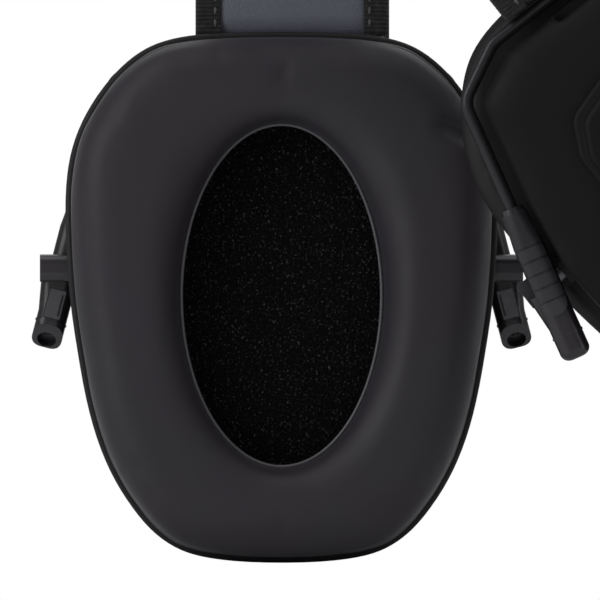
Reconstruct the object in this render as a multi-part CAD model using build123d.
from build123d import *
import math
import os

# Earmuff hearing protector: two slim passive cups on wire yokes, joined by a
# padded two-wire headband.  Millimetres, +Z up, X runs ear to ear.
# Everything is modelled with X = 0 midway between the cups and Y = Z = 0 at the
# centre of cup A, which lies on the -X side; files are then shifted along X so
# that X = 0 is the outer face of cup A's raised panel.  Half A hangs straight
# down; half B is turned about a line parallel to X at the crown.
#
# Cup frame: +X toward the head, Y across the cup, Z up, origin on the flange plane
# at the cup centre.  "Front" is +Y and "rear" is -Y in this frame.

# ---------------------------------------------------------------- shared sizes
CROWN_Z = 143.5          # headband wire axis at the crown
HINGE_Z = 50.0           # yoke hinge above the cup centre
WIRE_BACK = 10.0         # yoke wire, outboard of the flange plane
WIRE_R = 1.3             # spring wire of yoke and headband
RUN = 0.06               # radial running clearance
PIVOT_Z = 5.3            # cup pivot above the cup centre
PIN_R = 1.5
PIN_BACK = 6.2           # pivot axis, outboard of the flange plane
SIDES = (1, -1)
ON_BASE = (Align.CENTER, Align.CENTER, Align.MIN)

os.makedirs("parts", exist_ok=True)


# --------------------------------------------------------------------- helpers
def one(shape):
    """The bare solid where there is only one."""
    solids = shape.solids()
    return solids[0] if len(solids) == 1 else shape


def edges_at(shape, axis, place):
    """Edges whose centre has this coordinate on axis "X" or "Z"."""
    return [e for e in shape.edges() if abs(getattr(e.center(), axis) - place) < 0.05]


def prism(face, length):
    return Solid.extrude(face, Vector(length, 0, 0))


def across_plane(x, z=0):
    """Plane facing +X, with its own x along Y and its own y along Z."""
    return Plane(origin=(x, 0, z), x_dir=(0, 1, 0), z_dir=(1, 0, 0))


def pivot_cylinder(side, start, radius, length):
    """Cylinder on the pivot axis, running outward from start."""
    axis = Plane(origin=(-PIN_BACK, side * start, PIVOT_Z), z_dir=(0, side, 0))
    return axis * Cylinder(radius, length, align=ON_BASE)


def mirrored(half):
    """Closed outline from the points of its +Y half."""
    return half + [(-y, z) for y, z in reversed(half)]


def wire_sweep(path):
    start = Plane(origin=path.position_at(0), z_dir=path.tangent_at(0))
    return one(sweep(start * Circle(WIRE_R), path=path))


# ----------------------------------------------------------------- cup outline
# (y, z) from the top round the +Y side to the bottom
HALF_OUTLINE = [
    (0, 54.0), (8, 53.95), (15.8, 53.7), (23.6, 52.6), (27.3, 51.2), (31.8, 47.9),
    (35.1, 44.6), (38.4, 39.8), (41.3, 34.9), (42.9, 30), (43.9, 23.5), (44.05, 18),
    (43.7, 8), (43.0, -0.9), (42.1, -7.4), (41.0, -13.9), (39.9, -20.4), (38.2, -26.9),
    (35.9, -33.5), (32.4, -40), (27.6, -46.5), (24.1, -49.7), (21.6, -51.4),
    (15.8, -53.0), (8, -53.85), (0, -54)]


def resample(points, count):
    """Evenly spaced points along a closed polyline."""
    pieces = []
    total = 0.0
    for start, end in zip(points, points[1:] + points[:1]):
        length = math.hypot(end[0] - start[0], end[1] - start[1])
        pieces.append((total, length, start, end))
        total += length
    result = []
    for k in range(count):
        target = total * k / count
        for before, length, start, end in pieces:
            if before <= target < before + length:
                part = (target - before) / length
                result.append((start[0] + (end[0] - start[0]) * part,
                               start[1] + (end[1] - start[1]) * part))
                break
    return result


def smooth(points, times):
    for _ in range(times):
        count = len(points)
        points = [tuple(0.25 * points[i - 1][k] + 0.5 * points[i][k]
                        + 0.25 * points[(i + 1) % count][k] for k in (0, 1))
                  for i in range(count)]
    return points


OUTLINE = smooth(resample(
    HALF_OUTLINE + [(-y, z) for y, z in HALF_OUTLINE[-2:0:-1]], 96), 2)


def outline_face(inset, x):
    """Face of the smooth cup outline, through every second inset point."""
    points = []
    for i in range(0, len(OUTLINE), 2):
        before, after = OUTLINE[i - 1], OUTLINE[(i + 1) % len(OUTLINE)]
        along_y, along_z = after[0] - before[0], after[1] - before[1]
        length = math.hypot(along_y, along_z)
        # clockwise with y right and z up, so inward is (along_z, -along_y)
        points.append(Vector(x, OUTLINE[i][0] + inset * along_z / length,
                             OUTLINE[i][1] - inset * along_y / length))
    return Face(Wire([Edge.make_spline(points, periodic=True)]))


# ---------------------------------------------------- polygonal outline of dome
# (y, z) down the +Y side
DOME_HALF = [(21.0, 46.8), (31.5, 42.2), (36.6, 21.0), (39.2, 5.3), (38.4, -9.0),
             (35.2, -23.0), (22.0, -47.0)]


def inward_normal(start, end):
    y, z = end[0] - start[0], end[1] - start[1]
    return z / math.hypot(y, z), -y / math.hypot(y, z)


def dome_face(inset, x, corner_r):
    loop = mirrored(DOME_HALF)
    points = []
    for i, corner in enumerate(loop):
        normal_in = inward_normal(loop[i - 1], corner)
        normal_out = inward_normal(corner, loop[(i + 1) % len(loop)])
        mitre = 1 + normal_in[0] * normal_out[0] + normal_in[1] * normal_out[1]
        points.append((corner[0] + inset * (normal_in[0] + normal_out[0]) / mitre,
                       corner[1] + inset * (normal_in[1] + normal_out[1]) / mitre))
    face = make_face(Polyline(*points, close=True))
    face = fillet(face.vertices(), corner_r)
    return (across_plane(x) * face).faces()[0]


def dome_loft(stations):
    return Solid.make_loft([dome_face(*station).outer_wire() for station in stations], True)


# ------------------------------------------------------------------- cup solids
FLANGE_OUT = -4.5        # flange, outboard face
FLANGE_IN = 2.0          # flange, head-side face
TUB_OUT = -14.0          # outboard end of the shell wall
PANEL_BASE = -22.35      # flat of the cover, under the raised panel
PANEL_OUT = -23.4        # outer face of the raised panel
WALL = 2.0
CUSHION_IN = 3.7         # level of the cushion's back
CUSHION_BACK = CUSHION_IN + 0.3
CUSHION_FACE = 17.0      # sealing face
CUSHION_INSET = 1.6
EAR_Y, EAR_Z = 20.5, 34.9  # half-width and half-height of the ear opening
EAR_CENTRE_Z = 0.4
FOAM_OUT, FOAM_IN = -12.6, 1.4

NOTCH_HALF_W = 9.6       # notch for the hinge barrel
NOTCH_Z = 44.9           # bottom of the notch
NOTCH_H = 100            # clears the top of the cup
NOTCH_FLOOR_W = 2 * NOTCH_HALF_W + 4

BOSS_START, BOSS_R, BOSS_L = 35.0, 3.2, 5.0
WEB_Y, WEB_SIZE = 37.9, (3.6, 6.0, 6.0)
BORE_START, BORE_L = 37.2, 6.0
PIN_START, PIN_L = 37.6, 10.6

# inset, x, corner radius
COVER_STATIONS = [
    (0.0, TUB_OUT - 0.05, 4.0), (0.3, -17.6, 4.0), (0.9, -18.7, 4.2), (2.2, -19.6, 4.6),
    (5.0, -20.7, 5.0), (9.0, -21.8, 4.6), (11.5, PANEL_BASE, 3.4)]
HOLLOW_STATIONS = [(WALL, TUB_OUT + 1, 2.4), (2.5, -16.0, 2.6), (4.2, -17.6, 3.4),
                   (9.5, -19.6, 4.0)]
# (y, distance below the cup centre) of the raised panel's +Y half
PANEL_HALF = [(9, 31.5), (19, 28), (23.3, 20), (23.3, -14), (14.5, -31)]


def hinge_notch(x, depth):
    return Pos(x, 0, NOTCH_Z + NOTCH_H / 2) * Box(depth, 2 * NOTCH_HALF_W, NOTCH_H)


def ear_opening(half_y, half_z, x, length):
    ellipse = across_plane(x, EAR_CENTRE_Z) * Ellipse(half_y, half_z)
    return prism(ellipse.faces()[0], length)


def cup_shell():
    flange = prism(outline_face(0, FLANGE_OUT), FLANGE_IN - FLANGE_OUT)
    flange = flange.fillet(3.8, edges_at(flange, "X", FLANGE_OUT))
    flange = flange.fillet(0.7, edges_at(flange, "X", FLANGE_IN))
    tub = prism(dome_face(0, TUB_OUT, 4.0), FLANGE_OUT - TUB_OUT + 1)
    body = flange + tub
    body = body - prism(dome_face(WALL, TUB_OUT - 1, 2.4), FLANGE_IN - TUB_OUT + 2)
    # thicker wall under the hinge notch
    body = body + Pos((TUB_OUT + FLANGE_OUT) / 2 - 0.5, 0, 44.4) * \
        Box(FLANGE_OUT - TUB_OUT - 1, NOTCH_FLOOR_W, 4.4)
    body = body - hinge_notch(TUB_OUT - 1, 14.6)
    for side in SIDES:
        boss = pivot_cylinder(side, BOSS_START, BOSS_R, BOSS_L)
        web = Pos(-PIN_BACK / 2 - 1.3, side * WEB_Y, PIVOT_Z) * Box(*WEB_SIZE)
        body = body + boss + web
    for side in SIDES:
        body = body - pivot_cylinder(side, BORE_START, PIN_R + RUN, BORE_L)
    return one(body)


def cup_cover():
    cover = one(dome_loft(COVER_STATIONS))
    cover = cover - dome_loft(HOLLOW_STATIONS)
    # thicker wall under the hinge notch
    cover = cover + Pos(-16.6, 0, 42.6) * Box(5.0, NOTCH_FLOOR_W, 4.8)
    cover = cover - hinge_notch(-25, 40)
    # locating lip inside the shell wall, open at the notch
    lip = prism(dome_face(WALL + 0.1, TUB_OUT - 1.2, 2.2), 4.2) - \
        prism(dome_face(WALL + 1.3, TUB_OUT - 2.2, 1.6), 6.2)
    lip = lip - Pos(-12, 0, 44.4) * Box(8, NOTCH_FLOOR_W + 0.6, 8)
    return one(cover + lip)


def cover_panel():
    # this plane faces -X, so its own y points down
    plane = Plane(origin=(PANEL_BASE, 0, 0), x_dir=(0, 1, 0), z_dir=(-1, 0, 0))
    face = plane * make_face(Polyline(*mirrored(PANEL_HALF), close=True))
    face = fillet(face.vertices(), 4.0)
    panel = extrude(face, PANEL_BASE - PANEL_OUT, dir=(-1, 0, 0))
    return one(fillet(edges_at(panel, "X", PANEL_OUT), 0.5))


def cushion_ring():
    """Plate between flange and cushion, with a collar inside the shell wall."""
    back = FLANGE_IN + 0.05
    plate = prism(outline_face(2.4, back), CUSHION_IN + 0.25 - back)
    plate = plate - ear_opening(EAR_Y + 3.5, EAR_Z + 1.6, FLANGE_IN - 1, 5)
    collar = prism(dome_face(WALL + 0.25, -1.0, 2.2), 3.4) - \
        prism(dome_face(WALL + 1.65, -2.0, 1.4), 6.0)
    return one(plate + collar)


def cushion():
    body = prism(outline_face(CUSHION_INSET, CUSHION_BACK), CUSHION_FACE - CUSHION_BACK)
    body = body.fillet(5.0, edges_at(body, "X", CUSHION_FACE))
    body = body.fillet(2.5, edges_at(body, "X", CUSHION_BACK))
    body = one(body - ear_opening(EAR_Y, EAR_Z, CUSHION_IN - 1, 16))
    # the ear opening's edge is the only one here shorter than this
    opening = [e for e in edges_at(body, "X", CUSHION_FACE) if e.length < 190]
    return one(body.fillet(3.5, opening))


def absorber_foam():
    return one(prism(dome_face(5.4, FOAM_OUT, 2.0), FOAM_IN - FOAM_OUT))


def pivot_pins():
    pins = [pivot_cylinder(side, PIN_START, PIN_R, PIN_L) for side in SIDES]
    return [one(chamfer(pin.edges(), 0.3)) for pin in pins]


# ------------------------------------------------------------- yoke and sliders
LEG_LEAN = 14.5          # lean of the yoke legs, degrees
LEG_SIN = math.sin(math.radians(LEG_LEAN))
LEG_COS = math.cos(math.radians(LEG_LEAN))
LEG_Y = 44.3             # leg axis at pivot height
LEG_DOWN = 11.5          # end of the wire below the pivot, along the leg
YOKE_BEND_Z = 44.3
YOKE_TOP_Y = 22.5        # half of the level top run
YOKE_BEND_R = 5.0

SLIDER_W = 6.2
SLIDER_TOP = -16.9       # slider ends along the leg, from the pivot
SLIDER_BOTTOM = 16.0
NECK_END = SLIDER_TOP + 8.0
FACE_TILT = math.radians(43.0)
KNUCKLE_X, KNUCKLE_T = 4.0, 4.4
WINDOW_Y, WINDOW_Z = 0.15, 6.9

GRIP_L = 15.4            # straight part of the grip, below the neck
GRIP_END_R = 2.75        # rounded lower end
GRIP_CUT_X = -1.0        # the grip lies outboard of this
GRIP_SECTION = (SLIDER_W + 0.7, SLIDER_W + 0.9, 2.7)
GRIP_ROOM = (SLIDER_W - 0.1, SLIDER_W + 0.1, 2.35)
GROOVES = 5
GROOVE_START, GROOVE_PITCH, GROOVE_W = 8.3, 2.9, 0.42


def leg_point(side, down):
    """Point on the leg axis, this far below the pivot along the leg."""
    return Vector(-WIRE_BACK, side * (LEG_Y + down * LEG_SIN), PIVOT_Z - down * LEG_COS)


def leg_plane(side):
    """Leg frame: x toward the head, z down the leg, y toward the cup's rear.

    The outside of the cup is therefore on the -side of local y.
    """
    return Plane(origin=leg_point(side, 0), x_dir=(1, 0, 0),
                 z_dir=(0, side * LEG_SIN, -LEG_COS))


def yoke_wire():
    bend_y = LEG_Y - (YOKE_BEND_Z - PIVOT_Z) * LEG_SIN / LEG_COS
    rear, front = ([leg_point(side, LEG_DOWN),
                    Vector(-WIRE_BACK, side * bend_y, YOKE_BEND_Z),
                    Vector(-WIRE_BACK, side * YOKE_TOP_Y, HINGE_Z)] for side in (-1, 1))
    path = FilletPolyline(*rear, *reversed(front), radius=YOKE_BEND_R)
    return wire_sweep(path.wires()[0])


def section(z, width_x, width_y, corner_r, x=0, y=0):
    return Pos(x, y, z) * RectangleRounded(width_x, width_y, corner_r)


def slider_body(side):
    outside = -side
    width_x = SLIDER_W - 0.2
    neck = loft([section(SLIDER_TOP, 4.5, 4.5, 2.15),
                 section(NECK_END, width_x, SLIDER_W, 2.3)])
    core = neck + Pos(0, 0, NECK_END) * extrude(
        RectangleRounded(width_x, SLIDER_W, 2.3), SLIDER_BOTTOM - NECK_END)
    core = fillet(edges_at(core, "Z", SLIDER_BOTTOM), 1.9)
    # pivot knuckle on the head side
    knuckle = Pos(KNUCKLE_X, outside * 1.95, -0.2) * Rot(-side * LEG_LEAN, 0, 0) * \
        Box(KNUCKLE_T, 6.1, 5.6)
    knuckle = fillet([e for e in edges_at(knuckle, "X", KNUCKLE_X + KNUCKLE_T / 2)
                      if e.bounding_box().size.Y > 5.0], 1.9)
    core += knuckle
    # cheek that runs from the knuckle into the body
    core += loft([section(1.4, 4.6, 6.0, 2.0, x=0.7, y=outside * 1.35),
                  section(9.0, 5.4, 6.1, 2.3, x=0.2)])
    # raised collar line below the window
    core += Pos(0.05, 0, SLIDER_BOTTOM - 5.5) * extrude(
        RectangleRounded(SLIDER_W + 0.15, SLIDER_W + 0.3, 2.4), 0.5)
    # oblique lower face, turned toward the head, with a shallow round pocket
    oblique = Plane(origin=(SLIDER_W / 2, 0, SLIDER_BOTTOM - 4.9),
                    x_dir=(math.sin(FACE_TILT), 0, -math.cos(FACE_TILT)),
                    z_dir=(math.cos(FACE_TILT), 0, math.sin(FACE_TILT)))
    core -= oblique * Box(30, 14, 8.0, align=ON_BASE)
    core -= oblique * Pos(-4.4, 0, -1.6) * Cylinder(1.95, 4.0, align=ON_BASE)
    # window for the friction clip
    core -= Pos(3.6, outside * WINDOW_Y, WINDOW_Z) * Box(3.0, 3.6, 6.2)
    # bores for the yoke wire and the pivot pin
    core -= Cylinder(WIRE_R + RUN, 80)
    core = leg_plane(side) * core
    return one(core - pivot_cylinder(side, 36, PIN_R + RUN, 20))


def slider_grip(side):
    """Thin outboard skin with narrow grooves and a rounded lower end."""
    neck = loft([section(SLIDER_TOP + 1.0, 5.6, 5.6, 2.7), section(NECK_END, *GRIP_SECTION)])
    grip = neck + Pos(0, 0, NECK_END) * extrude(RectangleRounded(*GRIP_SECTION), GRIP_L)
    room = loft([section(SLIDER_TOP - 0.1, 4.6, 4.6, 2.2), section(NECK_END, *GRIP_ROOM)])
    room += Pos(0, 0, NECK_END) * extrude(RectangleRounded(*GRIP_ROOM), 30)
    grip -= room
    grip -= Pos(GRIP_CUT_X + 10, 0, 0) * Box(20, 20, 60)
    # the grip is trimmed to a tongue with a round lower end
    tongue = Pos(-3, 0, NECK_END + GRIP_L - GRIP_END_R) * Rot(0, 90, 0) * \
        Cylinder(GRIP_END_R, 10)
    tongue += Pos(-3, 0, SLIDER_TOP + 10.0) * Box(10, 2 * GRIP_END_R, 21.3)
    grip = grip & tongue
    for i in range(GROOVES):
        grip -= Pos(0, 0, SLIDER_TOP + GROOVE_START + i * GROOVE_PITCH) * (
            extrude(RectangleRounded(SLIDER_W + 3, SLIDER_W + 3, 3.0), GROOVE_W)
            - extrude(RectangleRounded(SLIDER_W + 0.35, SLIDER_W + 0.55, 2.5), GROOVE_W))
    return one(leg_plane(side) * grip)


def friction_clip(side):
    """Slotted leaf in the slider's window."""
    outside = -side
    clip = Pos(2.4, outside * WINDOW_Y, WINDOW_Z) * Box(0.4, 3.3, 5.9)
    clip -= Pos(2.4, outside * (WINDOW_Y - 1.2), WINDOW_Z) * Box(2, 0.45, 4.4)
    return one(leg_plane(side) * clip)


# -------------------------------------------------------------- headband, half A
BAND_R = 46.5            # crown arc, at the spring wires
BAND_LEAN = math.radians(13.5)  # lean of the straight legs
BAND_HALF_W = 38.9 / 2   # over the bindings
BAND_WIRE_Y = 12.6       # wires, each side of the middle
BAND_WIRE_START = 6.0    # wires start this far above the hinge, along the leg
PAD_START = 2.4          # and the padding this far
CROWN_CUT = 4.0          # each half stops this far from X = 0
# layers, measured outward from the wire axis
PAD_IN = -5.0            # inner face of the leather panel
PAD_GAP = 1.55           # half of the wire layer
COVER_OUT = 3.1          # outer face of the outer cover
BIND_T = 0.6             # webbing thickness
BIND_W = 4.9             # webbing width on each face
BIND_IN = PAD_IN - 0.05  # webbing's inside faces
BIND_OUT = COVER_OUT + 0.05
PAD_HALF_W = BAND_HALF_W - BIND_T - 0.1

ARC_Z = CROWN_Z - BAND_R
TANGENT_ANGLE = math.pi + BAND_LEAN
TANGENT_Z = ARC_Z - BAND_R * math.sin(BAND_LEAN)
HINGE_X = -BAND_R * math.cos(BAND_LEAN) + (TANGENT_Z - HINGE_Z) * math.tan(BAND_LEAN)
CUP_X = HINGE_X + WIRE_BACK            # flange plane of cup A

BARREL_R = 3.1           # yoke hinge barrel
BARREL_L = 13.0
HINGE_T = 2.96           # hinge plate, inside the wire layer
SCREW_Y, SCREW_Z = 6.0, 12.0
HEAD_X = 1.05            # middle of the screw head
HALF_GAP = 0.02          # each hinge half stops this far from the split


def leg_line(up, out):
    """Point up the straight leg from the hinge, offset outward."""
    return Vector(HINGE_X - up * math.sin(BAND_LEAN) - out * math.cos(BAND_LEAN), 0,
                  HINGE_Z + up * math.cos(BAND_LEAN) - out * math.sin(BAND_LEAN))


def band_run(out, start):
    """Leg start, tangent point, arc middle and crown end of one offset line."""
    radius = BAND_R + out
    end_angle = math.acos(-CROWN_CUT / radius)
    angles = (TANGENT_ANGLE, 0.5 * (TANGENT_ANGLE + end_angle), end_angle)
    return [leg_line(start, out)] + [
        Vector(radius * math.cos(a), 0, ARC_Z + radius * math.sin(a)) for a in angles]


def band_slab(inner, outer, y_start, y_end):
    a, b = band_run(inner, PAD_START), band_run(outer, PAD_START)
    face = Face(Wire([
        Edge.make_line(a[0], a[1]), Edge.make_three_point_arc(a[1], a[2], a[3]),
        Edge.make_line(a[3], b[3]), Edge.make_three_point_arc(b[3], b[2], b[1]),
        Edge.make_line(b[1], b[0]), Edge.make_line(b[0], a[0])]))
    return Solid.extrude(face.moved(Location((0, y_start, 0))), Vector(0, y_end - y_start, 0))


def barrel_room():
    """Room around the hinge barrel and the yoke wire next to it."""
    plane = Plane(origin=(HINGE_X, 0, HINGE_Z), x_dir=(1, 0, 0), z_dir=(0, 1, 0))
    return plane * Cylinder(BARREL_R + 0.4, BARREL_L + 1.6) + \
        plane * Cylinder(WIRE_R + 0.9, 60)


def padding(inner, outer):
    return one(band_slab(inner, outer, -PAD_HALF_W, PAD_HALF_W) - barrel_room())


def bindings():
    """U-section webbing along each edge of the band."""
    strips = []
    for side in SIDES:
        face_y = sorted((side * (BAND_HALF_W - BIND_W), side * BAND_HALF_W))
        edge_y = sorted((side * (BAND_HALF_W - BIND_T), side * BAND_HALF_W))
        inner = band_slab(BIND_IN - BIND_T, BIND_IN, *face_y)
        outer = band_slab(BIND_OUT, BIND_OUT + BIND_T, *face_y)
        edge = band_slab(BIND_IN - BIND_T, BIND_OUT + BIND_T, *edge_y)
        strips.append(one((inner + outer + edge) - barrel_room()))
    return strips


def band_wires():
    start, tangent, middle, end = band_run(0, BAND_WIRE_START)
    path = Wire([Edge.make_line(start, tangent),
                 Edge.make_three_point_arc(tangent, middle, end)])
    return [wire_sweep(path.moved(Location((0, side * BAND_WIRE_Y, 0)))) for side in SIDES]


# hinge frame: x outward, y across, z up the leg
HINGE_FRAME = Plane(origin=(HINGE_X, 0, HINGE_Z),
                    x_dir=(-math.cos(BAND_LEAN), 0, -math.sin(BAND_LEAN)),
                    z_dir=(-math.sin(BAND_LEAN), 0, math.cos(BAND_LEAN)))


def screw_cylinder(side, x, radius, length):
    return Pos(x, side * SCREW_Y, SCREW_Z) * Rot(0, 90, 0) * Cylinder(radius, length)


def hinge_half(direction):
    """Barrel round the wire, neck and plate, split in the band's layer plane."""
    body = Rot(90, 0, 0) * Cylinder(BARREL_R, BARREL_L)
    body += Pos(0, 0, 3.6) * Box(HINGE_T, BARREL_L, 7.2)
    plate = Pos(0, 0, 11.6) * Box(HINGE_T, 21.6, 14.0)
    body += fillet(plate.edges().filter_by(Axis.X), 2.0)
    body -= Rot(90, 0, 0) * Cylinder(WIRE_R + RUN, 60)
    for side in SIDES:
        body -= screw_cylinder(side, 0, 1.1, 10)
        body -= screw_cylinder(side, HEAD_X, 2.05, 0.92)
    half = Pos(direction * (10 + HALF_GAP), 0, 0) * Box(20, 60, 60)
    return one(HINGE_FRAME * (body & half))


def hinge_screws():
    screws = []
    for side in SIDES:
        screw = screw_cylinder(side, 0, 1.0, 2.9)
        screw += screw_cylinder(side, HEAD_X, 1.95, 0.8)
        # cross slot
        for slot in ((0.5, 0.5, 2.6), (0.5, 2.6, 0.5)):
            screw -= Pos(1.35, side * SCREW_Y, SCREW_Z) * Box(*slot)
        screws.append(one(HINGE_FRAME * screw))
    return screws


# ------------------------------------------------------------------------- crown
CROWN_L = 2 * (CROWN_CUT - 0.4)


def crown_rod(side, radius, length):
    return Pos(0, side * BAND_WIRE_Y, 0) * Rot(0, 90, 0) * Cylinder(radius, length)


def crown_pad():
    pad = Pos(0, 0, (COVER_OUT + PAD_IN) / 2) * \
        Box(CROWN_L, 2 * PAD_HALF_W, COVER_OUT - PAD_IN)
    pad = fillet(pad.edges().filter_by(Axis.X), 2.0)
    for side in SIDES:
        pad -= crown_rod(side, WIRE_R + 0.02, 30)
    return one(pad)


def crown_wires():
    return [crown_rod(side, WIRE_R, CROWN_L) for side in SIDES]


# ----------------------------------------------------------- placing and writing
FAN_DEG = 38.5           # turn of half B about the crown
FAN_Y = 8.5              # Y of the turn axis
BAND_Y = 2.2             # the band's middle, from the cup's middle

FAN = Pos(0, FAN_Y, CROWN_Z) * Rot(FAN_DEG, 0, 0) * Pos(0, -FAN_Y, -CROWN_Z)
TURN = Rot(0, 0, 180)
CUP_AT = Pos(CUP_X, 0, 0)
BAND_AT = Pos(0, BAND_Y, 0)
# placing of the cup pieces and of the band pieces, for each half
PLACES = {"a": (CUP_AT, BAND_AT), "b": (FAN * TURN * CUP_AT, FAN * BAND_AT * TURN)}
TO_PANEL = Pos(-(CUP_X + PANEL_OUT), 0, 0)


def save(name, shape, place):
    place = TO_PANEL * place
    if isinstance(shape, list):
        placed = Compound(children=[piece.moved(place) for piece in shape])
    else:
        placed = shape.moved(place)
    export_step(placed, f"parts/{name}.step")


CUP_NODES = {
    "cup_shell": cup_shell(), "cup_cover": cup_cover(), "cover_panel": cover_panel(),
    "cushion_ring": cushion_ring(), "cushion": cushion(), "absorber_foam": absorber_foam(),
    "pivot_pins": pivot_pins(), "yoke_wire": yoke_wire(),
}
for end_name, end_side in (("front", 1), ("rear", -1)):
    CUP_NODES[f"slider_{end_name}"] = slider_body(end_side)
    CUP_NODES[f"grip_{end_name}"] = slider_grip(end_side)
    CUP_NODES[f"clip_{end_name}"] = friction_clip(end_side)
BAND_NODES = {
    "band_panel": padding(PAD_IN, -PAD_GAP), "band_cover": padding(PAD_GAP, COVER_OUT),
    "band_binding": bindings(), "band_wires": band_wires(),
    "hinge_inner": hinge_half(-1), "hinge_outer": hinge_half(1),
    "hinge_screws": hinge_screws(),
}

for half_name, places in PLACES.items():
    for nodes, node_place in zip((CUP_NODES, BAND_NODES), places):
        for node, solid in nodes.items():
            save(f"{node}_{half_name}", solid, node_place)

crown_at = Pos(0, BAND_Y, CROWN_Z)
save("crown_pad", crown_pad(), crown_at)
save("crown_wires", crown_wires(), crown_at)
